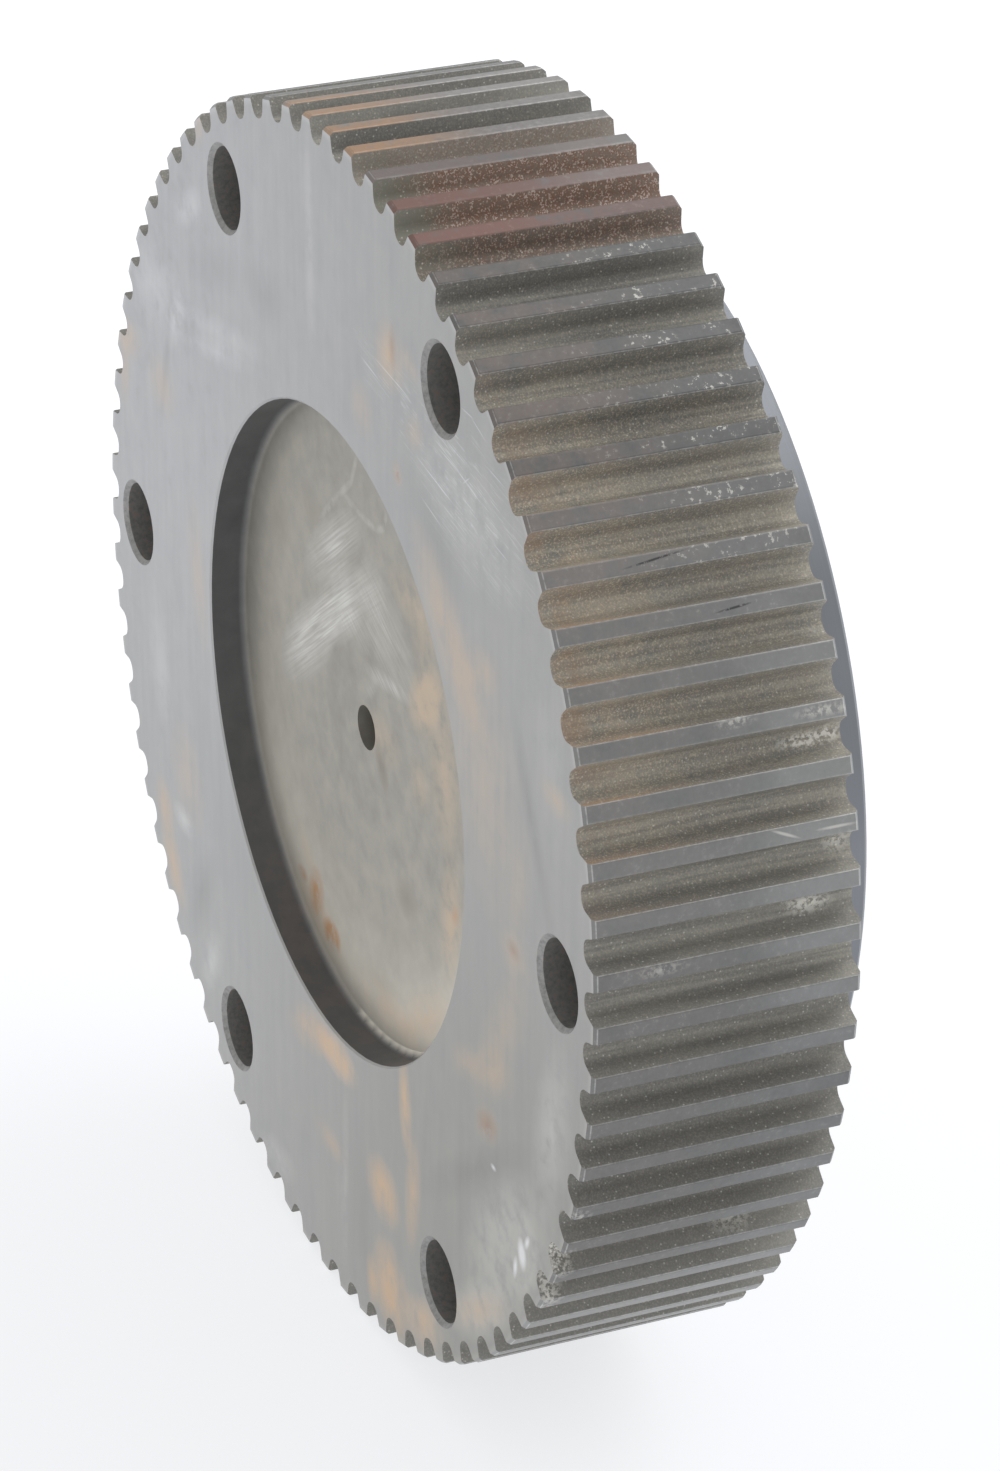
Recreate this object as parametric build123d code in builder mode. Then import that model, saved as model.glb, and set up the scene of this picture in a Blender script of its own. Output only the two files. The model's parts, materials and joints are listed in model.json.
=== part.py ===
from build123d import *
from math import cos, pi, radians, sin, sqrt, tan
import os

# A toothed driving wheel with straight teeth, and the disc bolted to its back.
# Millimetres. The wheel turns about Y: its front face looks towards -Y, +Z is up, and the
# origin is on the axis, halfway between the two ends of the teeth.

# Teeth: a curvilinear timing-belt form with a 14 mm pitch.
TOOTH_COUNT = 75
BELT_PITCH = 14.0
PITCH_LINE_OFFSET = 1.4  # how far the belt's pitch line lies outside the tooth tips
TOOTH_WIDTH = 70.0  # along the axis
GROOVE_DEPTH = 6.1
GROOVE_MOUTH = 9.7  # between the flanks, where they would meet the tip circle
FLANK_ANGLE = 20.0  # each flank leans this much from the radial line
GROOVE_CORNER_R = 3.2  # rounding between a flank and the bottom
TIP_EDGE_R = 0.6  # rounding between a flank and the tip land
TIP_CHAMFER = 1.0  # on both ends of every tooth

# Front face: a shallow pilot recess, and plain bolt holes right through the rim.
PILOT_DIAMETER = 175.0
RECESS_DEPTH = 10.0
RECESS_EDGE = 0.5
RECESS_CORNER_R = 2.0  # rounding between the recess wall and its floor
BOLT_CIRCLE = 288.0
BOLT_COUNT = 6
BOLT_HOLE = 22.0
BOLT_HOLE_CHAMFER = 1.2
CENTRE_HOLE = 12.0

# Rear disc: it stands on the wheel's back, centred by a spigot in a second recess.
DISC_DIAMETER = 258.0
DISC_THICKNESS = 20.0
DISC_EDGE = 1.0
REAR_RECESS_DEPTH = 8.5
SPIGOT_LENGTH = 8.0
SPIGOT_CLEARANCE = 0.03  # on the radius
SPIGOT_EDGE = 1.0

# Socket head screws that hold the disc, and the dowels between them.
FASTENER_CIRCLE = 212.0
SCREW_COUNT = 6
SCREW_DIAMETER = 12.0
SCREW_LENGTH = 35.0
SCREW_HEAD_DIAMETER = 18.0
SCREW_HEAD_HEIGHT = 12.0
SCREW_CLEARANCE_HOLE = 13.5
COUNTERBORE_DIAMETER = 20.0
COUNTERBORE_DEPTH = 13.0
HEX_ACROSS_FLATS = 10.0
HEX_DEPTH = 6.0
TAPPED_HOLE_DEPTH = 32.0
DOWEL_COUNT = 2
DOWEL_DIAMETER = 12.0
DOWEL_LENGTH = 36.0
DOWEL_SETBACK = 2.0  # below the disc's back
FASTENER_EDGE = 1.0

TIP_R = TOOTH_COUNT * BELT_PITCH / (2 * pi) - PITCH_LINE_OFFSET
HALF_WIDTH = TOOTH_WIDTH / 2
DISC_BACK = HALF_WIDTH + DISC_THICKNESS
SCREW_SEAT = DISC_BACK - COUNTERBORE_DEPTH
DOWEL_START = DISC_BACK - DOWEL_SETBACK
HALF_TOOTH = 180 / TOOTH_COUNT  # degrees; a tooth is centred straight above the axis
FIRST_SCREW = 180 / SCREW_COUNT  # degrees; each screw lies between two bolt holes
OVERCUT = 2.0  # how far a groove's cutting shape reaches past the tips


def facing_front(y):
    """The plane across the axis at y, seen from the front: positive extrusion runs forwards."""
    return Plane(origin=(0, y, 0), x_dir=(1, 0, 0), z_dir=(0, -1, 0))


def facing_back(y):
    """The plane across the axis at y, seen from the back: positive extrusion runs backwards."""
    return Plane(origin=(0, y, 0), x_dir=(-1, 0, 0), z_dir=(0, 1, 0))


def tooth_edge():
    """The rounding between a flank and the tip land: its lower end, middle and upper end.

    Its centre is one radius inside the tip circle, and one radius from the flank. Here y runs
    out along the middle of the groove, from the wheel's centre.
    """
    lean = radians(FLANK_ANGLE)
    down_flank = Vector(-sin(lean), -cos(lean))
    into_tooth = Vector(cos(lean), -sin(lean))
    start = Vector(GROOVE_MOUTH / 2, TIP_R) + into_tooth * TIP_EDGE_R
    centre_reach = TIP_R - TIP_EDGE_R
    half_b = start.dot(down_flank)
    travel = -half_b - sqrt(half_b**2 - start.dot(start) + centre_reach**2)
    centre = start + down_flank * travel
    flank_end = centre - into_tooth * TIP_EDGE_R
    land_end = centre * (TIP_R / centre_reach)
    to_middle = (flank_end + land_end) / 2 - centre
    return flank_end, centre + to_middle.normalized() * TIP_EDGE_R, land_end


# One groove, drawn with its middle along y.
flank_end, edge_middle, land_end = tooth_edge()
groove_floor = TIP_R - GROOVE_DEPTH
half_floor = GROOVE_MOUTH / 2 - GROOVE_DEPTH * tan(radians(FLANK_ANGLE))

with BuildSketch() as groove:
    with BuildLine():
        Polyline((0, TIP_R + OVERCUT), (land_end.X, TIP_R + OVERCUT), land_end)
        ThreePointArc(land_end, edge_middle, flank_end)
        Polyline(flank_end, (half_floor, groove_floor), (0, groove_floor))
        mirror(about=Plane.YZ)
    make_face()
    for side in (0, -1):
        corner = groove.vertices().group_by(Axis.Y)[0].sort_by(Axis.X)[side]
        fillet(corner, GROOVE_CORNER_R)

with BuildPart() as toothed_wheel:
    # The turned blank.
    with BuildSketch(facing_front(-HALF_WIDTH)):
        Circle(TIP_R)
    extrude(amount=-TOOTH_WIDTH)
    chamfer(toothed_wheel.edges().filter_by(GeomType.CIRCLE), TIP_CHAMFER)
    # Front pilot recess.
    with BuildSketch(facing_front(-HALF_WIDTH)):
        Circle(PILOT_DIAMETER / 2)
    extrude(amount=-RECESS_DEPTH, mode=Mode.SUBTRACT)
    recess_edges = toothed_wheel.edges(Select.LAST).filter_by(GeomType.CIRCLE)
    fillet(recess_edges.group_by(Axis.Y)[-1], RECESS_CORNER_R)
    chamfer(recess_edges.group_by(Axis.Y)[0], RECESS_EDGE)
    # Rear recess for the disc's spigot.
    with BuildSketch(facing_back(HALF_WIDTH)):
        Circle(PILOT_DIAMETER / 2)
    extrude(amount=-REAR_RECESS_DEPTH, mode=Mode.SUBTRACT)
    # Bolt holes through the rim, chamfered at both ends.
    with BuildSketch(facing_front(-HALF_WIDTH)):
        with PolarLocations(BOLT_CIRCLE / 2, BOLT_COUNT):
            Circle(BOLT_HOLE / 2)
    extrude(amount=-TOOTH_WIDTH, mode=Mode.SUBTRACT)
    chamfer(toothed_wheel.edges(Select.LAST).filter_by(GeomType.CIRCLE), BOLT_HOLE_CHAMFER)
    # Centre hole.
    with BuildSketch(facing_front(-HALF_WIDTH)):
        Circle(CENTRE_HOLE / 2)
    extrude(amount=-TOOTH_WIDTH, mode=Mode.SUBTRACT)
    # Blind holes in the back for the screws and the dowels.
    with BuildSketch(facing_back(HALF_WIDTH)):
        with PolarLocations(FASTENER_CIRCLE / 2, SCREW_COUNT, start_angle=FIRST_SCREW):
            Circle(SCREW_DIAMETER / 2)
    extrude(amount=-TAPPED_HOLE_DEPTH, mode=Mode.SUBTRACT)
    with BuildSketch(facing_back(HALF_WIDTH)):
        with PolarLocations(FASTENER_CIRCLE / 2, DOWEL_COUNT):
            Circle(DOWEL_DIAMETER / 2)
    extrude(amount=-(DOWEL_LENGTH + DOWEL_SETBACK - DISC_THICKNESS), mode=Mode.SUBTRACT)
    # The grooves between the teeth.
    with BuildSketch(facing_front(-HALF_WIDTH)):
        with PolarLocations(0, TOOTH_COUNT, start_angle=HALF_TOOTH):
            add(groove.sketch)
    extrude(amount=-TOOTH_WIDTH, mode=Mode.SUBTRACT)

with BuildPart() as rear_disc:
    with BuildSketch(facing_back(HALF_WIDTH)):
        Circle(DISC_DIAMETER / 2)
    extrude(amount=DISC_THICKNESS)
    chamfer(rear_disc.edges().filter_by(GeomType.CIRCLE).sort_by(Axis.Y)[-1], DISC_EDGE)
    # The spigot in front of it.
    with BuildSketch(facing_front(HALF_WIDTH)):
        Circle(PILOT_DIAMETER / 2 - SPIGOT_CLEARANCE)
    extrude(amount=SPIGOT_LENGTH)
    chamfer(rear_disc.edges().filter_by(GeomType.CIRCLE).sort_by(Axis.Y)[0], SPIGOT_EDGE)
    # Centre hole, screw holes and dowel holes, drilled from the back.
    with Locations(facing_back(DISC_BACK)):
        Hole(CENTRE_HOLE / 2)
        with PolarLocations(FASTENER_CIRCLE / 2, SCREW_COUNT, start_angle=FIRST_SCREW):
            CounterBoreHole(
                SCREW_CLEARANCE_HOLE / 2, COUNTERBORE_DIAMETER / 2, COUNTERBORE_DEPTH
            )
        with PolarLocations(FASTENER_CIRCLE / 2, DOWEL_COUNT):
            Hole(DOWEL_DIAMETER / 2)

with BuildPart() as disc_screws:
    # Heads, standing on the counterbores' floors.
    with BuildSketch(facing_back(SCREW_SEAT)):
        with PolarLocations(FASTENER_CIRCLE / 2, SCREW_COUNT, start_angle=FIRST_SCREW):
            Circle(SCREW_HEAD_DIAMETER / 2)
    extrude(amount=SCREW_HEAD_HEIGHT)
    chamfer(
        disc_screws.edges().filter_by(GeomType.CIRCLE).group_by(Axis.Y)[-1], FASTENER_EDGE
    )
    # Hexagon sockets.
    with BuildSketch(facing_back(SCREW_SEAT + SCREW_HEAD_HEIGHT)):
        with PolarLocations(FASTENER_CIRCLE / 2, SCREW_COUNT, start_angle=FIRST_SCREW):
            RegularPolygon(HEX_ACROSS_FLATS / 2, 6, major_radius=False)
    extrude(amount=-HEX_DEPTH, mode=Mode.SUBTRACT)
    # Shanks, with their threads left plain.
    with BuildSketch(facing_front(SCREW_SEAT)):
        with PolarLocations(FASTENER_CIRCLE / 2, SCREW_COUNT, start_angle=FIRST_SCREW):
            Circle(SCREW_DIAMETER / 2)
    extrude(amount=SCREW_LENGTH)
    chamfer(
        disc_screws.edges().filter_by(GeomType.CIRCLE).group_by(Axis.Y)[0], FASTENER_EDGE
    )

with BuildPart() as dowel_pins:
    with BuildSketch(facing_front(DOWEL_START)):
        with PolarLocations(FASTENER_CIRCLE / 2, DOWEL_COUNT):
            Circle(DOWEL_DIAMETER / 2)
    extrude(amount=DOWEL_LENGTH)
    chamfer(dowel_pins.edges().filter_by(GeomType.CIRCLE), FASTENER_EDGE)

toothed_wheel.part.label = "toothed_wheel"
rear_disc.part.label = "rear_disc"
disc_screws.part.label = "disc_screws"
dowel_pins.part.label = "dowel_pins"

os.makedirs("parts", exist_ok=True)
export_step(toothed_wheel.part, "parts/toothed_wheel.step")
export_step(rear_disc.part, "parts/rear_disc.step")
export_step(disc_screws.part, "parts/disc_screws.step")
export_step(dowel_pins.part, "parts/dowel_pins.step")
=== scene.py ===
"""Looks for the toothed belt wheel: used turned steel on a pale studio floor.

Everything is in metres, in the model's own frame: the axis runs along Y, the front face looks
towards -Y, and +Z is up. Angles round the wheel are measured from +X towards +Z.
"""
import json
import math

import bpy
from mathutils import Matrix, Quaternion, Vector


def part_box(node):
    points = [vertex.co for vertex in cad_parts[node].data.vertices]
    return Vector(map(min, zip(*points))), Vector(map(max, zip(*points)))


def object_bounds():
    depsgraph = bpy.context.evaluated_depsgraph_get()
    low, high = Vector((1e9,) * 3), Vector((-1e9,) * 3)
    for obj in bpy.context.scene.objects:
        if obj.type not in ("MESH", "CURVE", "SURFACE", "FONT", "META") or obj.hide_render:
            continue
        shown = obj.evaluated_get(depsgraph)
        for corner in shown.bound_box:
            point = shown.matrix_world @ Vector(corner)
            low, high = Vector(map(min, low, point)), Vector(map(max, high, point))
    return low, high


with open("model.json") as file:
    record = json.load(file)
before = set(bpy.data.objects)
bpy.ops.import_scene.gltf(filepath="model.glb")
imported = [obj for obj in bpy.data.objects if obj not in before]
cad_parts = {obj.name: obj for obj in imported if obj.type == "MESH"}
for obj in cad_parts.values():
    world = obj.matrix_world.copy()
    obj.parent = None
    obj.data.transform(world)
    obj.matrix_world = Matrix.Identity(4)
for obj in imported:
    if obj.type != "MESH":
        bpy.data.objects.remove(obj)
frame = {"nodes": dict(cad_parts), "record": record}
cad_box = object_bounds()

MM = 0.001

# ---- The wheel's own sizes ----------------------------------------------------------------------
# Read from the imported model:
wheel_low, wheel_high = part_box("toothed_wheel")
mounts = {mount["name"]: mount["dims"] for mount in frame["record"]["mounts"]}

FRONT = wheel_low.y
BACK = wheel_high.y
TIP_R = wheel_high.z
PILOT_R = mounts["pilot_recess"]["r_mm"] * MM
CENTRE_HOLE_R = mounts["centre_bore"]["r_mm"] * MM
BOLT_CIRCLE_R = mounts["flange_holes"]["pcd_mm"] * MM / 2

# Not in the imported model's record, so given here:
TOOTH_COUNT = 75
GROOVE_STEP = 360 / TOOTH_COUNT  # degrees
FIRST_GROOVE = 90 - GROOVE_STEP / 2  # degrees; a tooth is centred straight above the axis
RECESS_DEPTH = 10 * MM
RECESS_CORNER_R = 2 * MM
LAND_EDGE = 0.45 * MM  # the rounded edges of a land end this far below the tips
LIP = 0.35  # where a groove's lip is, in tooth pitches from its middle

SEED_STEP = (0.73, 0.31, 0.57)
STROKE_REACH = 0.6  # half length of a drawn stroke's soft patch, in lengths of the stroke
STROKE_STRENGTH = 1.6


# ---- Fields: numbers that vary over a surface ---------------------------------------------------
class Field:
    """A number that varies over a surface. Arithmetic on it adds Math nodes."""

    def __init__(self, tree, socket):
        self.tree = tree
        self.socket = socket

    def __add__(self, other):
        return calculate(self.tree, "ADD", self, other)

    def __sub__(self, other):
        return calculate(self.tree, "SUBTRACT", self, other)

    def __rsub__(self, other):
        return calculate(self.tree, "SUBTRACT", other, self)

    def __mul__(self, other):
        return calculate(self.tree, "MULTIPLY", self, other)

    __radd__ = __add__

    def apply(self, operation, *others):
        """One of the Math node's operations on this field, and others if it takes them."""
        return calculate(self.tree, operation, self, *others)

    def ramp(self, start, end):
        """0 at start and 1 at end, smoothly. start may be the larger one."""
        node = self.tree.nodes.new("ShaderNodeMapRange")
        node.interpolation_type = "SMOOTHSTEP"
        connect(self.tree, node.inputs["Value"], self)
        node.inputs["From Min"].default_value = min(start, end)
        node.inputs["From Max"].default_value = max(start, end)
        node.inputs["To Min"].default_value = 0 if start < end else 1
        node.inputs["To Max"].default_value = 1 if start < end else 0
        return Field(self.tree, node.outputs["Result"])

    def window(self, start, end, edge):
        """1 between start and end, and 0 outside, with soft edges of that half width."""
        return self.ramp(start - edge, start + edge) * self.ramp(end + edge, end - edge)


def connect(tree, socket, value):
    """Puts a field, a number or a colour into a node's input."""
    if isinstance(value, Field):
        tree.links.new(value.socket, socket)
    elif isinstance(value, tuple):
        socket.default_value = (*value, 1)
    else:
        socket.default_value = value


def calculate(tree, operation, *values):
    """A field made by one Math node from fields and numbers."""
    node = tree.nodes.new("ShaderNodeMath")
    node.operation = operation
    for socket, value in zip(node.inputs, values):
        connect(tree, socket, value)
    return Field(tree, node.outputs[0])


def banded(field, bands):
    """Soft bands of a field, added up: start, end, half width of the edges, and height of each."""
    return sum(field.window(start, end, edge) * height for start, end, edge, height in bands)


def seeded(seed):
    """A place in a noise's space, a different one for each seed."""
    return tuple(seed * step for step in SEED_STEP)


class Finish:
    """What a surface looks like: its colour, roughness and metal share."""

    def __init__(self, colour, roughness, metallic):
        self.colour = colour
        self.roughness = roughness
        self.metallic = metallic


class Surface:
    """One material's nodes, and the fields that its finishes are made from."""

    def __init__(self, name):
        self.material = bpy.data.materials.new(name)
        self.material.use_nodes = True
        self.tree = self.material.node_tree
        self.tree.nodes.clear()
        self.position = self.tree.nodes.new("ShaderNodeTexCoord").outputs["Object"]
        self.x, self.y, self.z = self.split(self.position)
        self.radius = (self.x * self.x + self.z * self.z).apply("SQRT")
        self.degrees = self.z.apply("ARCTAN2", self.x) * (180 / math.pi)
        normal = self.tree.nodes.new("ShaderNodeNewGeometry").outputs["True Normal"]
        self.facing = self.split(normal)[1]
        self.face_map = self.combine(self.x, self.z, 0)
        self.tooth_map = self.combine(self.y, self.degrees * (math.radians(1) * TIP_R), 0)

    def split(self, vector):
        """A vector's three parts, as fields."""
        node = self.tree.nodes.new("ShaderNodeSeparateXYZ")
        self.tree.links.new(vector, node.inputs[0])
        return [Field(self.tree, output) for output in node.outputs]

    def combine(self, x, y, z):
        """A vector from three fields or numbers."""
        node = self.tree.nodes.new("ShaderNodeCombineXYZ")
        for socket, value in zip(node.inputs, (x, y, z)):
            connect(self.tree, socket, value)
        return node.outputs[0]

    def placed(self, over, place, size, lean):
        """A map's coordinates as seen from a place on it, in units of a size, turned by a lean."""
        node = self.tree.nodes.new("ShaderNodeMapping")
        node.vector_type = "TEXTURE"
        self.tree.links.new(over, node.inputs["Vector"])
        node.inputs["Location"].default_value = place
        node.inputs["Rotation"].default_value = (0, 0, math.radians(lean))
        node.inputs["Scale"].default_value = size
        return node.outputs[0]

    def noise(self, size, seed, detail=2, roughness=0.5, over=None, lean=0):
        """Cloudy noise, mostly from 0.3 to 0.7, in grains of a size (one number or three)."""
        size = size if isinstance(size, tuple) else (size, size, size)
        vector = self.placed(over or self.position, seeded(seed), size, lean)
        node = self.tree.nodes.new("ShaderNodeTexNoise")
        self.tree.links.new(vector, node.inputs["Vector"])
        node.inputs["Scale"].default_value = 1
        node.inputs["Detail"].default_value = detail
        node.inputs["Roughness"].default_value = roughness
        return Field(self.tree, node.outputs[0])

    def specks(self, spacing, reach, seed):
        """Scattered round specks: 1 in the middle of one, 0 from reach (in spacings) outwards."""
        vector = self.placed(self.position, seeded(seed), (spacing, spacing, spacing), 0)
        node = self.tree.nodes.new("ShaderNodeTexVoronoi")
        self.tree.links.new(vector, node.inputs["Vector"])
        node.inputs["Scale"].default_value = 1
        return Field(self.tree, node.outputs["Distance"]).ramp(reach, 0)

    def patches(self, places, over):
        """Soft patches on a map: place, half length, half width (mm), lean and strength of each."""
        total = 0.0
        for right, up, length, width, lean, strength in places:
            place = (right * MM, up * MM, 0)
            vector = self.placed(over, place, (length * MM, width * MM, 1), lean)
            fall = self.tree.nodes.new("ShaderNodeTexGradient")
            fall.gradient_type = "SPHERICAL"
            self.tree.links.new(vector, fall.inputs["Vector"])
            patch = Field(self.tree, fall.outputs[1])
            total = calculate(self.tree, "MULTIPLY_ADD", patch, strength, total)
        return total.apply("MINIMUM", 1)

    def strokes(self, lines, width, over):
        """Thin tapering marks on a map, each from one point to another in mm."""
        places = []
        for start, end in lines:
            run = Vector(end) - Vector(start)
            middle = (Vector(end) + Vector(start)) / 2
            lean = math.degrees(math.atan2(run.y, run.x))
            reach = run.length * STROKE_REACH
            places.append((middle.x, middle.y, reach, width, lean, STROKE_STRENGTH))
        return self.patches(places, over)

    def mix(self, under, over, share):
        """Two colours or two numbers, mixed."""
        coloured = any(
            value.socket.type == "RGBA" if isinstance(value, Field) else isinstance(value, tuple)
            for value in (under, over)
        )
        kind = "RGBA" if coloured else "VALUE"
        node = self.tree.nodes.new("ShaderNodeMix")
        node.data_type = "RGBA" if coloured else "FLOAT"
        ends = [socket for socket in node.inputs if socket.type == kind and socket.name in "AB"]
        connect(self.tree, node.inputs[0], share)
        connect(self.tree, ends[0], under)
        connect(self.tree, ends[1], over)
        return Field(self.tree, next(socket for socket in node.outputs if socket.type == kind))

    def layer(self, under, over, share):
        """One finish on top of another, where share is 1."""
        return Finish(
            self.mix(under.colour, over.colour, share),
            self.mix(under.roughness, over.roughness, share),
            self.mix(under.metallic, over.metallic, share),
        )

    def brighten(self, colour, gain):
        """The colour times a field."""
        node = self.tree.nodes.new("ShaderNodeMix")
        node.data_type = "RGBA"
        node.blend_type = "MULTIPLY"
        node.inputs[0].default_value = 1
        ends = [socket for socket in node.inputs if socket.type == "RGBA"]
        connect(self.tree, ends[0], colour)
        self.tree.links.new(gain.socket, ends[1])
        return Field(self.tree, next(socket for socket in node.outputs if socket.type == "RGBA"))

    def finish(self, look):
        """Ends the material in one shader."""
        shader = self.tree.nodes.new("ShaderNodeBsdfPrincipled")
        connect(self.tree, shader.inputs["Base Color"], look.colour)
        connect(self.tree, shader.inputs["Roughness"], look.roughness)
        connect(self.tree, shader.inputs["Metallic"], look.metallic)
        output = self.tree.nodes.new("ShaderNodeOutputMaterial")
        self.tree.links.new(shader.outputs[0], output.inputs["Surface"])
        return self.material


# ---- Colours, as linear light -------------------------------------------------------------------
# Lit and shaded copies of the face: the cooler one carries a painted reflection, the warmer one a
# warm tint and painted shade.
FACE_COOL_LIT = (0.475, 0.477, 0.484)
FACE_WARM_SHADED = (0.335, 0.329, 0.304)
RECESS_GREY = (0.36, 0.342, 0.300)
WALL_GREY = (0.13, 0.132, 0.134)
HOLE_GREY = (0.235, 0.232, 0.222)
CENTRE_HOLE_GREY = (0.44, 0.43, 0.38)
CHAMFER_GREY = (0.30, 0.30, 0.29)
LAND_SLATE = (0.185, 0.187, 0.185)
GROOVE_OLIVE = (0.35, 0.34, 0.30)
GROOVE_DARK = (0.225, 0.222, 0.205)
GROOVE_GREEN = (0.225, 0.232, 0.195)
DUST_TAN = (0.62, 0.52, 0.36)
DUST_WHITE = (0.80, 0.78, 0.72)
STAIN_ORANGE = (0.54, 0.31, 0.16)
STAIN_TAN = (0.65, 0.49, 0.335)
RUST_ROSE = (0.22, 0.125, 0.108)
RUST_RED = (0.23, 0.098, 0.078)
RUST_BROWN = (0.27, 0.145, 0.09)
SHADOW_BROWN = (0.16, 0.125, 0.09)
BRIGHT_STEEL = (0.85, 0.86, 0.87)
WIPE_WHITE = (0.74, 0.735, 0.71)
DISC_BLUE = (0.235, 0.248, 0.268)
OXIDE_BLACK = (0.03, 0.03, 0.033)
DOWEL_GREY = (0.50, 0.50, 0.51)

# ---- Marks --------------------------------------------------------------------------------------
# A patch has its place on the map, half length, half width (all mm), lean (degrees) and strength.
# A scratch, line or crack has its two ends in mm. On the front face and in the recess the map
# runs to the right and up, from the wheel's axis.
FACE_STAINS = (
    (35, -118, 13, 11, 0, 1.3),
    (40, -145, 16, 14, 100, 1.4),
    (27, -150, 9, 5, 95, 0.9),
    (50, -84, 16, 5, 95, 1.2),
    (55, -108, 20, 6, 85, 0.8),
    (3, -94, 16, 7, 0, 1.5),
    (-16, -96, 18, 8, 15, 0.8),
    (-2, -123, 14, 5, 0, 0.5),
    (98, -118, 26, 6, 33, 0.6),
    (62, -143, 16, 9, 20, 1.0),
    (-127, -81, 10, 8, 110, 0.65),
    (-121, -96, 16, 8, 120, 0.78),
    (-108, -62, 18, 14, 110, 0.33),
    (-97, 5, 26, 8, 100, 0.33),
    (-150, 54, 14, 7, 10, 0.59),
    (-152, 42, 12, 5, 80, 0.39),
    (-122, 50, 12, 10, 0, 0.39),
    (-90, 136, 8, 5, 60, 0.45),
    (40, 121, 11, 10, 40, 0.72),
    (53, 124, 7, 4, -20, 0.39),
    (56, 107, 7, 5, 30, 0.39),
    (45, 92, 4, 4, 0, 0.65),
    (22, 100, 9, 8, 0, 0.33),
    (78, 62, 34, 12, -42, 0.59),
    (98, 62, 14, 7, 20, 0.39),
    (100, 32, 40, 26, -70, 0.3),
    (122, 14, 20, 7, 80, 0.2),
    (118, -5, 10, 7, 20, 0.45),
    (112, -30, 34, 10, 60, 0.33),
    (106, -44, 16, 8, 20, 0.39),
    (90, -50, 12, 6, 20, 0.45),
    (103, -61, 10, 6, 25, 0.52),
    (142, 48, 10, 5, 0, 0.45),
)
FACE_RUST = (
    (103, -61, 8, 5, 20, 0.7),
    (42, 124, 3, 7, 0, 0.5),
    (45, 92, 3, 3, 0, 0.7),
    (118, -4, 5, 3, 0, 0.5),
)
FACE_PALE = (
    (138, 56, 32, 12, 112, 0.25),
    (142, -42, 30, 12, 78, 1.0),
    (116, -90, 38, 20, 45, 1.6),
    (125, -86, 14, 10, 60, 1.0),
    (98, -118, 26, 9, 33, 1.5),
    (3, -94, 14, 7, 0, 0.8),
    (62, -143, 16, 9, 20, 0.7),
    (8, -130, 34, 3.5, 88, 0.6),
    (-12, 132, 32, 4, 92, 0.5),
    (-75, 83, 36, 5, 10, 0.5),
    (-80, 76, 30, 4, 12, 0.5),
    (-110, 74, 14, 6, 50, 0.8),
    (-99, 110, 14, 6, 30, 0.8),
    (-128, 78, 26, 14, 10, 0.5),
    (-91, -113, 14, 7, 60, 0.9),
    (-42, -150, 16, 7, 10, 0.7),
    (-128, -38, 26, 10, 100, 0.5),
    (-111, -78, 10, 5, 0, 0.9),
    (90, 100, 40, 18, -10, 0.6),
)
FACE_DIM = (
    (-44, 106, 16, 10, 0, 0.8),
    (-98, -94, 22, 9, 60, 0.9),
    (-80, 100, 26, 8, 15, 0.5),
    (96, -78, 44, 7, 35, 0.8),
    (128, 36, 34, 5, 115, 0.9),
    (-118, 60, 26, 3, 75, 0.7),
    (20, -140, 30, 12, 90, 0.5),
    (70, 84, 26, 10, -35, 0.6),
    (-60, -70, 60, 26, -40, 0.3),
)
FACE_POLISH = (
    (125, -86, 5, 3, 100, 1.6),
    (121, -92, 4, 1.6, 80, 1.2),
    (128, -81, 3, 1.4, 60, 1.2),
    (107, -71, 2, 1, 0, 1.0),
)
FACE_SCRATCHES = (
    ((85, 125), (92, 125)),
    ((90, 125), (100, 122)),
    ((71, 109), (84, 108)),
    ((82, 108), (98, 105)),
    ((60, 101), (82, 98)),
    ((60, 92), (74, 89)),
    ((100, 116), (110, 115)),
    ((104, 98), (113, 97)),
    ((86, 106), (90, 109)),
    ((30, 117), (52, 115)),
    ((22, 114), (34, 112)),
)
SCRATCHED_AREA = (
    (88, 104, 50, 24, -8, 1.5),
    (40, 112, 34, 12, -5, 0.7),
)
RECESS_WIPES_UP = (
    (-40, 8, 28, 10, 40, 1.3),
    (-18, 27, 26, 10, 38, 1.3),
    (-22, 42, 26, 9, 36, 1.0),
    (4, 40, 10, 12, 0, 0.4),
)
RECESS_WIPES_DOWN = (
    (12, 34, 24, 14, -30, 0.8),
    (14, 19, 18, 3, 8, 1.2),
    (4, 14, 8, 3, 50, 0.7),
    (-4, 26, 20, 6, 5, 0.6),
)
RECESS_LINES = (
    ((-31, 47), (-18, 59)),
    ((-19, 58), (-9, 66)),
    ((-10, 65), (-6, 74)),
    ((-15, 60), (-4, 59)),
    ((-6, 59), (8, 59)),
    ((7, 59), (13, 62)),
    ((12, 61), (14, 68)),
)
RECESS_STAINS = (
    (40, 26, 16, 9, 45, 1.7),
    (38, 38, 8, 6, 0, 0.5),
    (34, 48, 20, 8, -10, 0.7),
    (52, 10, 26, 12, 100, 0.8),
    (56, -30, 22, 8, 85, 1.1),
    (40, -66, 26, 9, 35, 1.0),
    (14, -76, 26, 8, 5, 0.8),
    (10, 2, 14, 8, 0, 0.6),
    (-42, -58, 12, 5, -50, 0.5),
    (-34, -72, 22, 8, -20, 1.0),
    (36, 0, 8, 8, 60, 0.6),
)
RECESS_RUST = (
    (-46, -65, 4, 2.6, 0, 1.1),
    (-36, -66, 9, 6, 80, 1.3),
    (-25, -73.5, 7, 5, 0, 2.0),
    (59, -26, 4, 3, 60, 0.6),
)
RECESS_DARK = (
    (10, -6, 9, 4, -60, 1.4),
    (34, 41, 12, 7, -20, 0.3),
    (27, -37, 9, 7, 0, 0.8),
    (-38, 47, 10, 8, 0, 0.5),
    (-60, 33, 8, 10, 0, 0.5),
    (10, -71, 14, 8, 0, 0.5),
    (-11, 47, 8, 8, 0, 0.6),
)
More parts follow.
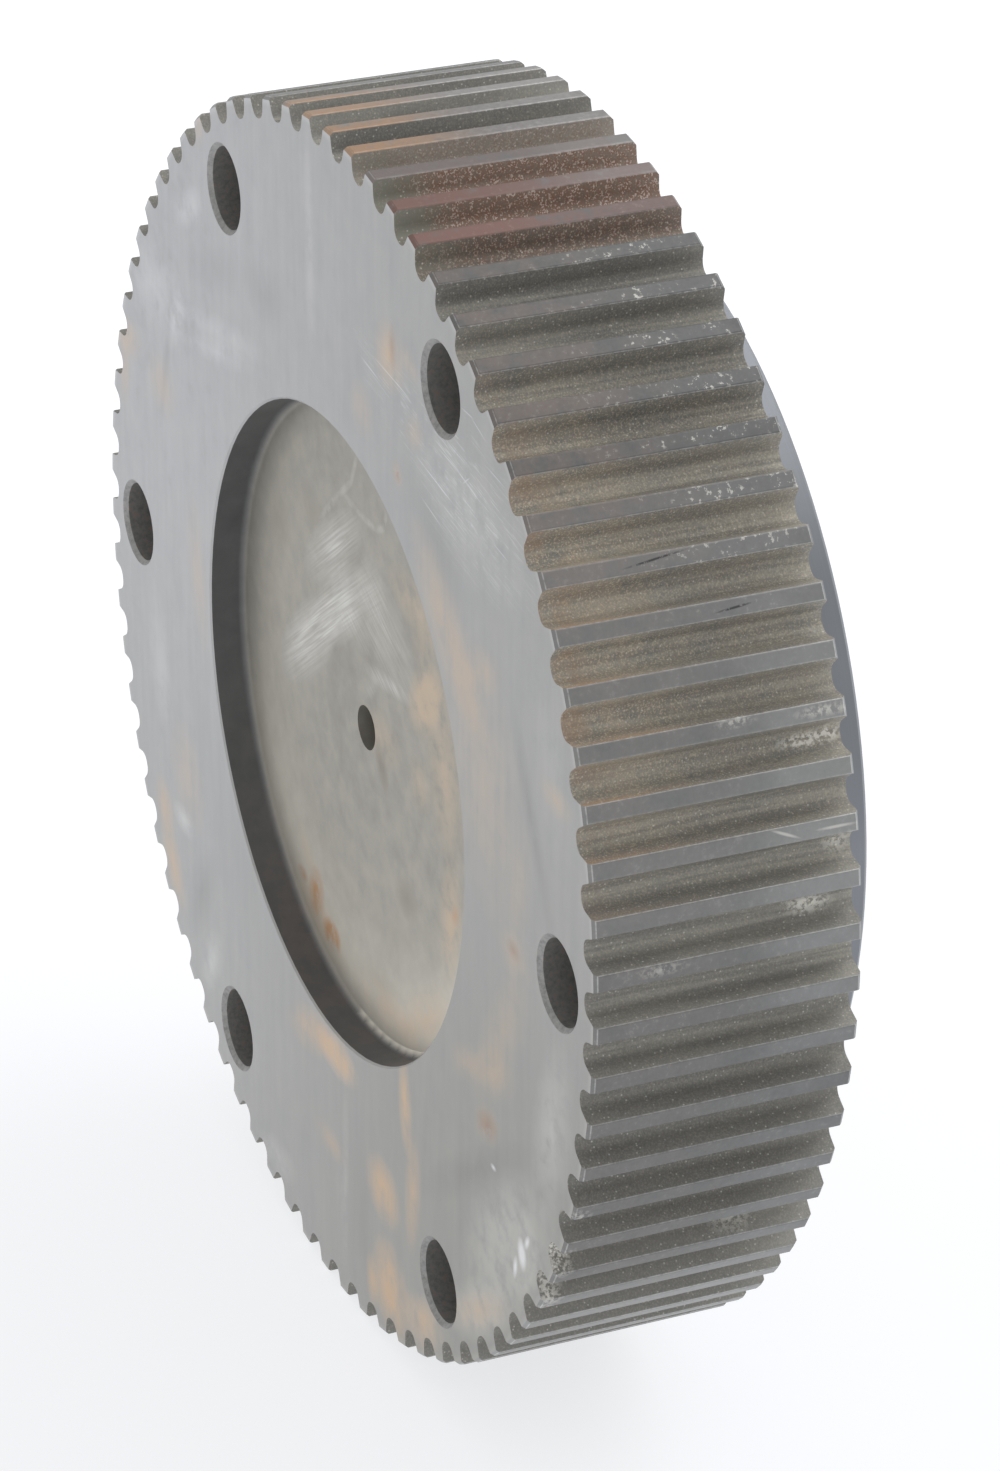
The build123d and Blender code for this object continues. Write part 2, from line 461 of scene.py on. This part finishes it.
# On the teeth the map runs along the axis, and round the tips, where 0 is level with the axis.
TOOTH_DUST = (
    (26, 59, 9, 2.4, 0, 1.7),
    (32, 60, 4, 3, 0, 1.0),
    (29, 66, 9, 1.8, 0, 1.4),
    (6, 67, 6, 1.6, 0, 1.2),
    (23, 18, 8, 3.5, 0, 1.3),
    (31, 33, 5, 4, 0, 0.9),
    (14, -81, 9, 4, 0, 1.3),
    (-33, -80, 5, 7, 0, 1.7),
    (-33, -62, 4, 5, 0, 1.2),
    (-33, -98, 5, 7, 0, 1.0),
    (-18, 11, 8, 2, 0, 0.7),
)
TOOTH_SCRATCHES = (((12, 40), (19, 37)), ((24, 38), (34, 38)))
TOOTH_CRACKS = (((-14, 107), (2, 109)), ((6, 93), (16, 94)))


# ---- Bands round the wheel ----------------------------------------------------------------------
# A band has its start, end and half width of its edges (all degrees), and then its height.
TOP = (83, 100, 1.4)  # the teeth at the top
REDDEST = (69, 77.5, 1.4)  # the teeth with the most rust
# Painted light and shade on the lands, by angle round the wheel.
LAND_LIGHT_AND_SHADE = (
    (6, 40, 5, 0.22),
    (44, 70, 3, -0.2),
    (74, 83, 1.4, 0.2),
    (*TOP, 0.15),
)
# More painted light and shade on the lands towards the back of the wheel.
LAND_REAR_LIGHT = (
    (-34, -16, 4, 0.2),
    (-6, 30, 8, 0.4),
    (74, 83, 1.4, 0.45),
    (*TOP, 0.3),
)
LAND_ROSE = (
    (*REDDEST, 0.5),
    (78, 83, 1.4, 0.3),
    (*TOP, 0.15),
)
# Painted light and shade in the grooves, by angle round the wheel.
GROOVE_LIGHT_AND_SHADE = (
    (47, 76, 3, -0.22),
    (66, 71, 1, -0.12),
    (80.5, 85, 1, 0.25),
    (85, 90, 1, -0.12),
    (91, 94, 1, 0.15),
)
# More painted light in the grooves towards the back of the wheel.
GROOVE_REAR_LIGHT = (
    (-35, -22, 3, 0.2),
    (91, 94, 1, 0.12),
)


# ---- Finishes -----------------------------------------------------------------------------------
def front_face(surface, mottle):
    """The flat faces: satin grey, wiped in streaks, with warm stains and fine scratches."""
    x, y, z, face = surface.x, surface.y, surface.z, surface.face_map
    on_front = y.ramp(0, -1 * MM)  # the marks are on the front face only
    streak = surface.noise((5 * MM, 40 * MM, 1), seed=2, detail=3, roughness=0.6, over=face)

    # A warm tint and painted shade towards the right and the bottom; the cooler, lighter left is a
    # painted reflection.
    warmth_and_shade = x.ramp(-120 * MM, 110 * MM) * 0.5 + z.ramp(80 * MM, -140 * MM) * 0.4
    colour = surface.mix(FACE_COOL_LIT, FACE_WARM_SHADED, warmth_and_shade * on_front + mottle * 0.6 - 0.3)

    # A painted highlight at the rim, painted light low down and painted shade high up, and lighter
    # and darker in patches.
    rim_highlight = surface.radius.ramp(TIP_R - 3 * MM, TIP_R - 1.2 * MM) * 0.14
    height = z.ramp(-60 * MM, -150 * MM) * 0.06 - z.ramp(20 * MM, 90 * MM) * 0.04
    pale = surface.patches(FACE_PALE, face) * on_front
    dim = surface.patches(FACE_DIM, face) * on_front
    patched = (pale * 0.36 - dim * 0.2) * mottle.ramp(0.2, 0.6)
    gain = 0.66 + streak * 0.3 + mottle * 0.34 + patched + rim_highlight + height
    colour = surface.brighten(colour, gain)

    # Stains, broken up by the streaks, and a few spots of rust.
    broken = (streak + mottle).ramp(0.7, 1.15)
    stain = surface.patches(FACE_STAINS, face) * on_front * (broken * 0.6 + 0.4)
    colour = surface.mix(colour, STAIN_TAN, stain * 0.85)
    colour = surface.mix(colour, STAIN_ORANGE, stain * stain * 0.15)
    rust = surface.patches(FACE_RUST, face) * on_front * mottle.ramp(0.35, 0.5)
    colour = surface.mix(colour, RUST_BROWN, rust * 0.7)

    # Hair scratches in the scratched area, single scratches, and small polished spots.
    hair = surface.noise((8 * MM, 0.35 * MM, 1), seed=6, detail=1, over=face, lean=-8)
    scratched = surface.patches(SCRATCHED_AREA, face) * mottle.ramp(0.35, 0.55)
    marks = surface.strokes(FACE_SCRATCHES, 0.25, face) * 0.4 + surface.patches(FACE_POLISH, face)
    shine = hair.ramp(0.52, 0.7) * scratched * 0.35 + marks
    shine = (shine * on_front).apply("MINIMUM", 1)
    colour = surface.mix(colour, BRIGHT_STEEL, shine * 0.7)
    return Finish(colour, roughness=0.38 + streak * 0.16 - shine * 0.12, metallic=0.8)


def recess_floor(surface, mottle):
    """The recess's floor: a warmer, duller grey, with the strokes of a rag across it."""
    x, z, radius, face = surface.x, surface.z, surface.radius, surface.face_map
    rings = surface.noise(9 * MM, seed=13, roughness=0.7, over=surface.combine(radius, 0, 0))

    # Lighter towards both sides, and painted light low down, most of all by the wall there.
    sides = x.ramp(-60 * MM, 50 * MM) * 0.06 + x.ramp(-15 * MM, -70 * MM) * 0.16
    painted_light_by_wall = radius.ramp(55 * MM, 82 * MM) * z.ramp(10 * MM, -50 * MM)
    below = z.ramp(-15 * MM, -75 * MM) * 0.18 + painted_light_by_wall * 0.55
    colour = surface.brighten(RECESS_GREY, 0.6 + rings * 0.2 + mottle * 0.5 + sides + below)

    # Dark patches and tan stains.
    patchy = mottle.ramp(0.28, 0.55)
    dark = surface.patches(RECESS_DARK, face) * patchy
    colour = surface.mix(colour, SHADOW_BROWN, dark * 0.4)
    stain = surface.patches(RECESS_STAINS, face) * patchy
    colour = surface.mix(colour, STAIN_TAN, stain * 0.6)

    # Strokes of the rag in two directions, and thin drawn lines.
    up = surface.noise((16 * MM, 0.6 * MM, 1), seed=15, detail=1, over=face, lean=37)
    down = surface.noise((14 * MM, 0.7 * MM, 1), seed=16, detail=1, over=face, lean=-24)
    wiped = surface.patches(RECESS_WIPES_UP, face) * (up.ramp(0.2, 0.8) * 0.7 + 0.25)
    wiped = wiped + surface.patches(RECESS_WIPES_DOWN, face) * (down.ramp(0.3, 0.8) * 0.6 + 0.1)
    wiped = wiped + surface.strokes(RECESS_LINES, 1.4, face) * patchy * 0.25
    colour = surface.mix(colour, WIPE_WHITE, wiped.apply("MINIMUM", 1) * 0.8)

    rust = surface.patches(RECESS_RUST, face) * patchy
    colour = surface.mix(colour, STAIN_ORANGE, rust * 0.9)
    return Finish(colour, roughness=0.5, metallic=0.6)


def recess_wall(surface, mottle):
    """The recess's wall: dark, with a trace of rust towards the bottom."""
    low = surface.z.ramp(-20 * MM, -85 * MM)
    colour = surface.brighten(WALL_GREY, 0.75 + mottle * 0.5)
    colour = surface.mix(colour, RUST_BROWN, low * mottle.ramp(0.42, 0.62) * 0.1)
    return Finish(colour, roughness=0.55, metallic=0.5)


def hole_wall(surface, grit):
    """Inside the bolt holes, dull and dark, and inside the lighter centre hole."""
    colour = surface.mix(HOLE_GREY, RUST_BROWN, grit.ramp(0.56, 0.66) * 0.5)
    centre = surface.radius.ramp(2 * CENTRE_HOLE_R, 1.5 * CENTRE_HOLE_R)
    colour = surface.mix(colour, CENTRE_HOLE_GREY, centre)
    chamfer = surface.facing.apply("ABSOLUTE").ramp(0.2, 0.5)
    colour = surface.mix(colour, CHAMFER_GREY, chamfer * 0.9)
    colour = surface.brighten(colour, 0.4 + grit * 1.25)
    return Finish(colour, roughness=0.6 - chamfer * 0.2, metallic=0.4)


def land(surface, mottle, grit, chamfer):
    """The tips of the teeth: slate grey, rubbed by the belt, nicked and rusty in places."""
    degrees, y, teeth = surface.degrees, surface.y, surface.tooth_map
    rear = y.ramp(BACK - 35 * MM, BACK - 10 * MM)
    forward = y.ramp(BACK - 15 * MM, FRONT + 15 * MM)
    top = degrees.window(*TOP)

    # Painted light and shade round the wheel, and painted highlights on the edges.
    painted_light_and_shade = banded(degrees, LAND_LIGHT_AND_SHADE) + rear * banded(degrees, LAND_REAR_LIGHT)
    # A painted reflection of the floor on the lower lands, and painted light on the top ones.
    painted_light_and_shade = painted_light_and_shade + degrees.ramp(-28, -40) * 0.75 + degrees.ramp(87, 95) * 0.4
    # A painted highlight along the rounded edges of the lands, broken up by grit.
    edge = surface.radius.window(TIP_R - 0.32 * MM, TIP_R - 0.12 * MM, 0.06 * MM)
    edge = edge * (grit.ramp(0.3, 0.6) * 0.9 + 0.3)
    gain = 0.57 + mottle * 0.5 + grit * (top * 0.8 + 0.3) + chamfer * 0.2 + painted_light_and_shade + edge
    colour = surface.brighten(LAND_SLATE, gain)

    # Rose, orange and brown rust.
    patchy = mottle.ramp(0.25, 0.5)
    rose = banded(degrees, LAND_ROSE) + degrees.window(*REDDEST) * forward * 0.4
    colour = surface.mix(colour, RUST_ROSE, rose * patchy)
    front_half = y.ramp(5 * MM, -25 * MM)
    colour = surface.mix(colour, STAIN_ORANGE, top * front_half * patchy * 0.6)
    brown = (degrees.window(36, 68, 5) * 0.12 + 0.06) * forward * mottle.ramp(0.3, 0.6)
    colour = surface.mix(colour, RUST_BROWN, brown)

    # White nicks, scuffs and scratches, and dark cracks.
    nicked = degrees.window(34, 68, 3) * y.ramp(FRONT + 16 * MM, BACK - 20 * MM) + 0.1
    nick = grit.ramp(0.58, 0.64) * (nicked * mottle.ramp(0.42, 0.56)).apply("MINIMUM", 1)
    scuff = surface.patches(TOOTH_DUST, teeth) * grit.ramp(0.42, 0.6)
    scratch = surface.strokes(TOOTH_SCRATCHES, 0.5, teeth)
    worn = ((nick + scuff + scratch) * 0.7).apply("MINIMUM", 1)
    colour = surface.mix(colour, DUST_WHITE, worn * 0.7)
    cracks = surface.strokes(TOOTH_CRACKS, 0.4, teeth)
    colour = surface.mix(colour, OXIDE_BLACK, cracks * grit.ramp(0.4, 0.5) * 0.8)
    return Finish(colour, roughness=0.42 + mottle * 0.12, metallic=0.65)


def groove(surface, mottle, grit):
    """The grooves: dark olive scale with tan dust and rust in it."""
    turns = (surface.degrees - FIRST_GROOVE) * (1 / GROOVE_STEP)
    number = turns.apply("ROUND")
    across = turns - number  # 0 in the middle of a groove, above 0 upwards
    middle = number * GROOVE_STEP + FIRST_GROOVE  # the groove's own angle in degrees
    depth = surface.y - FRONT  # distance in from the front face
    fine = surface.noise(0.5 * MM, seed=31, detail=1, roughness=0.7)
    bands = surface.noise((45 * MM, 1.7 * MM, 1), seed=33, over=surface.tooth_map)

    rusty = middle.ramp(64, 72) * middle.ramp(86, 79)
    dusty = middle.ramp(64, 40) * middle.ramp(4, 26)
    low = middle.ramp(4, -14)
    near_front = depth.ramp(40 * MM, 6 * MM)

    # Olive scale, darker in bands and low down, and painted shade by both lips of a groove.
    colour = surface.mix(GROOVE_OLIVE, GROOVE_DARK, bands.ramp(0.38, 0.62) * 0.8)
    colour = surface.mix(colour, GROOVE_DARK, low * 0.7)
    shade_by_lips = across.window(-0.36, -0.16, 0.06) * 0.4 + across.window(0.2, 0.4, 0.05) * 0.6
    colour = surface.mix(colour, GROOVE_DARK, shade_by_lips)

    # Painted light and shade round the wheel, lighter towards the front and the back, and grainy.
    painted_light_and_shade = banded(middle, GROOVE_LIGHT_AND_SHADE) + middle.ramp(-20, -34) * 0.18 - low * 0.08
    front = near_front * (middle.window(47, 62, 3) + dusty) * 0.15
    rear = depth.ramp(45 * MM, 65 * MM) * (banded(middle, GROOVE_REAR_LIGHT) + 0.12)
    grain = (fine * 0.8 + grit * 0.5 - 0.65) * (dusty * 0.3 + 0.65)
    colour = surface.brighten(colour, 0.92 + grain + painted_light_and_shade + front + rear)

    # Tan dust: a stain, specks on it, and rust at the front ends.
    stain = dusty * (0.25 + near_front * 0.5) * mottle.ramp(0.3, 0.6)
    colour = surface.mix(colour, STAIN_TAN, stain * 0.35)
    speck = (dusty * (near_front * 0.65 + 0.35) + 0.2) * fine.ramp(0.56, 0.64)
    colour = surface.mix(colour, DUST_TAN, speck * 0.6)
    ends = dusty * depth.ramp(14 * MM, 0) * mottle.ramp(0.4, 0.62)
    colour = surface.mix(colour, RUST_BROWN, ends * 0.35)

    # Rust with pale flakes, and cleaner, greenish steel in front of it.
    colour = surface.mix(colour, RUST_BROWN, rusty * (0.35 + grit.ramp(0.35, 0.6) * 0.4))
    colour = surface.mix(colour, RUST_RED, rusty * grit.ramp(0.5, 0.62) * 0.4)
    flakes = rusty * (fine * 0.5 + grit * 0.5).ramp(0.53, 0.61)
    colour = surface.mix(colour, DUST_WHITE, flakes * 0.5)
    clean = rusty * depth.ramp(18 * MM, 4 * MM) * mottle.ramp(0.2, 0.5)
    colour = surface.mix(colour, GROOVE_GREEN, clean * 0.85)

    # An orange line at the lower lip, and white crumbs and clumps of dust on top.
    lip = across.window(-LIP - 0.04, -LIP + 0.05, 0.03) * bands.ramp(0.4, 0.6)
    colour = surface.mix(colour, STAIN_ORANGE, lip * dusty * near_front * 0.5)
    crumbs = surface.specks(1.5 * MM, 0.22, seed=35) * mottle.ramp(0.25, 0.5)
    clumps = surface.patches(TOOTH_DUST, surface.tooth_map) * grit.ramp(0.42, 0.56)
    pale = (crumbs * 0.9 + clumps).apply("MINIMUM", 1)
    colour = surface.mix(colour, DUST_WHITE, pale * 0.8)
    return Finish(colour, roughness=0.62, metallic=0.25)


# ---- Materials ----------------------------------------------------------------------------------
def wheel_material():
    """The wheel: each part of it picked out by its radius, its depth and the way it faces."""
    surface = Surface("wheel_steel")
    radius = surface.radius
    mottle = surface.noise(8 * MM, seed=4, detail=4, roughness=0.65)
    grit = surface.noise(1.4 * MM, seed=32, detail=3, roughness=0.7)
    flatness = surface.facing.apply("ABSOLUTE")

    # The teeth: lands and the chamfers at their ends on top of the grooves.
    chamfer = flatness.ramp(0.3, 0.4)
    on_tip = radius.ramp(TIP_R - LAND_EDGE, TIP_R - 0.1 * MM).apply("MAXIMUM", chamfer)
    look = surface.layer(
        groove(surface, mottle, grit), land(surface, mottle, grit, chamfer), on_tip
    )

    # The recess's wall and the holes.
    near_recess = radius.ramp(PILOT_R + 2 * MM, PILOT_R + 1 * MM)
    look = surface.layer(look, recess_wall(surface, mottle), near_recess)
    centre_hole = radius.ramp(CENTRE_HOLE_R + 2 * MM, CENTRE_HOLE_R + 1 * MM)
    bolt_holes = radius.window(PILOT_R + 15 * MM, BOLT_CIRCLE_R + 13 * MM, 1 * MM)
    look = surface.layer(look, hole_wall(surface, grit), bolt_holes.apply("MAXIMUM", centre_hole))

    # The flat faces, the chamfer at the recess's mouth, and the recess's floor.
    mouth = near_recess * surface.y.ramp(FRONT + 1.5 * MM, FRONT + 1 * MM)
    flat = flatness.ramp(0.8, 0.9).apply("MAXIMUM", mouth * flatness.ramp(0.55, 0.65))
    deep = surface.y.ramp(FRONT + RECESS_DEPTH / 2, FRONT + RECESS_DEPTH / 2 + 1 * MM)
    in_recess = deep * radius.ramp(PILOT_R + 1 * MM, PILOT_R)
    look = surface.layer(look, front_face(surface, mottle), flat * (1 - in_recess))
    on_floor = in_recess * radius.ramp(PILOT_R, PILOT_R - RECESS_CORNER_R)
    return surface.finish(surface.layer(look, recess_floor(surface, mottle), on_floor))


def disc_material():
    """The disc: bluish grey, finely turned."""
    surface = Surface("disc_steel")
    feed = surface.noise((70 * MM, 0.35 * MM, 70 * MM), seed=51, detail=2)
    rings = surface.noise(0.7 * MM, seed=52, over=surface.combine(surface.radius, 0, 0))
    cloud = surface.noise(35 * MM, seed=53, detail=3)
    colour = surface.brighten(DISC_BLUE, 0.7 + cloud * 0.4 + feed * 0.1 + rings * 0.1)
    return surface.finish(Finish(colour, roughness=0.34 + cloud * 0.1, metallic=0.8))


def screw_material():
    """The screws: black oxide, worn in patches."""
    surface = Surface("screw_steel")
    wear = surface.noise(3 * MM, seed=61, detail=4, roughness=0.7)
    colour = surface.mix(OXIDE_BLACK, LAND_SLATE, wear.ramp(0.5, 0.7) * 0.6)
    return surface.finish(Finish(colour, roughness=0.42 + wear * 0.15, metallic=0.5))


def dowel_material():
    """The dowels: ground steel."""
    surface = Surface("dowel_steel")
    cloud = surface.noise(4 * MM, seed=71, detail=3)
    colour = surface.brighten(DOWEL_GREY, 0.8 + cloud * 0.4)
    return surface.finish(Finish(colour, roughness=0.24 + cloud * 0.1, metallic=0.9))


def dress(node, material):
    """Gives one of the model's pieces its material."""
    for slot in frame["nodes"][node].material_slots:
        slot.material = material


dress("toothed_wheel", wheel_material())
dress("rear_disc", disc_material())
dress("disc_screws", screw_material())
dress("dowel_pins", dowel_material())


# ---- Floor, light and camera --------------------------------------------------------------------
FLOOR_SIZE = 24
FLOOR_WHITE = (0.33, 0.34, 0.36, 1)
FLOOR_ROUGHNESS = 0.9
FLOOR_GLOW = (0.98, 0.985, 1.0, 1)
GLOW_NEAR, GLOW_NEAR_X = 0.69, 0.6  # the glow's strength from this x on, towards the camera
GLOW_FAR, GLOW_FAR_X = 0.80, -1.2  # and its strength from this x on, away from it
WORLD_STRENGTH = 0.7
LIGHT_PLACE = (-0.1, 1.3, 1.3)
LIGHT_SIZE = 1.6
LIGHT_POWER = 16
CAMERA_PLACE = (1.2035, -0.5146, 0.6448)
CAMERA_AIM = (0.0175, 0.0051, 0.0)
CAMERA_ROLL = math.radians(0.449)
CAMERA_LENS = 137.04
CAMERA_SENSOR = 36


def add_object(name, data, place):
    """A new object in the scene."""
    thing = bpy.data.objects.new(name, data)
    bpy.context.scene.collection.objects.link(thing)
    thing.location = place
    return thing


def aimed(place, aim):
    """The turn that points a light or a camera from one place to another."""
    return (Vector(aim) - Vector(place)).to_track_quat("-Z", "Y")


def floor_material():
    """White that glows, as a lit studio sheet does, and more in the distance."""
    material = bpy.data.materials.new("studio_white")
    material.use_nodes = True
    tree = material.node_tree
    shader = tree.nodes["Principled BSDF"]
    shader.inputs["Base Color"].default_value = FLOOR_WHITE
    shader.inputs["Roughness"].default_value = FLOOR_ROUGHNESS
    shader.inputs["Specular IOR Level"].default_value = 0
    shader.inputs["Emission Color"].default_value = FLOOR_GLOW
    position = tree.nodes.new("ShaderNodeTexCoord").outputs["Object"]
    split = tree.nodes.new("ShaderNodeSeparateXYZ")
    tree.links.new(position, split.inputs[0])
    nearness = Field(tree, split.outputs["X"]).ramp(GLOW_FAR_X, GLOW_NEAR_X)
    glow = GLOW_FAR - nearness * (GLOW_FAR - GLOW_NEAR)
    connect(tree, shader.inputs["Emission Strength"], glow)
    return material


def make_floor():
    half = FLOOR_SIZE / 2
    corners = [(-half, -half, 0), (half, -half, 0), (half, half, 0), (-half, half, 0)]
    mesh = bpy.data.meshes.new("studio_floor")
    mesh.from_pydata(corners, [], [(0, 1, 2, 3)])
    mesh.materials.append(floor_material())
    add_object("studio_floor", mesh, (0, 0, cad_box[0].z))


def make_world():
    world = bpy.data.worlds.new("studio")
    world.use_nodes = True
    bpy.context.scene.world = world
    background = world.node_tree.nodes["Background"]
    background.inputs["Color"].default_value = (1, 1, 1, 1)
    background.inputs["Strength"].default_value = WORLD_STRENGTH


def make_light():
    light = bpy.data.lights.new("overhead", "AREA")
    light.shape = "SQUARE"
    light.size = LIGHT_SIZE
    light.energy = LIGHT_POWER
    lamp = add_object("overhead", light, LIGHT_PLACE)
    lamp.rotation_euler = aimed(LIGHT_PLACE, (0, 0, 0)).to_euler()


def make_camera():
    lens = bpy.data.cameras.new("camera")
    lens.lens = CAMERA_LENS
    lens.sensor_width = CAMERA_SENSOR
    camera = add_object("camera", lens, CAMERA_PLACE)
    roll = Quaternion((0, 0, 1), CAMERA_ROLL)
    camera.rotation_euler = (aimed(CAMERA_PLACE, CAMERA_AIM) @ roll).to_euler()
    bpy.context.scene.camera = camera


make_floor()
make_world()
make_light()
make_camera()
bpy.context.scene.view_settings.view_transform = "Standard"
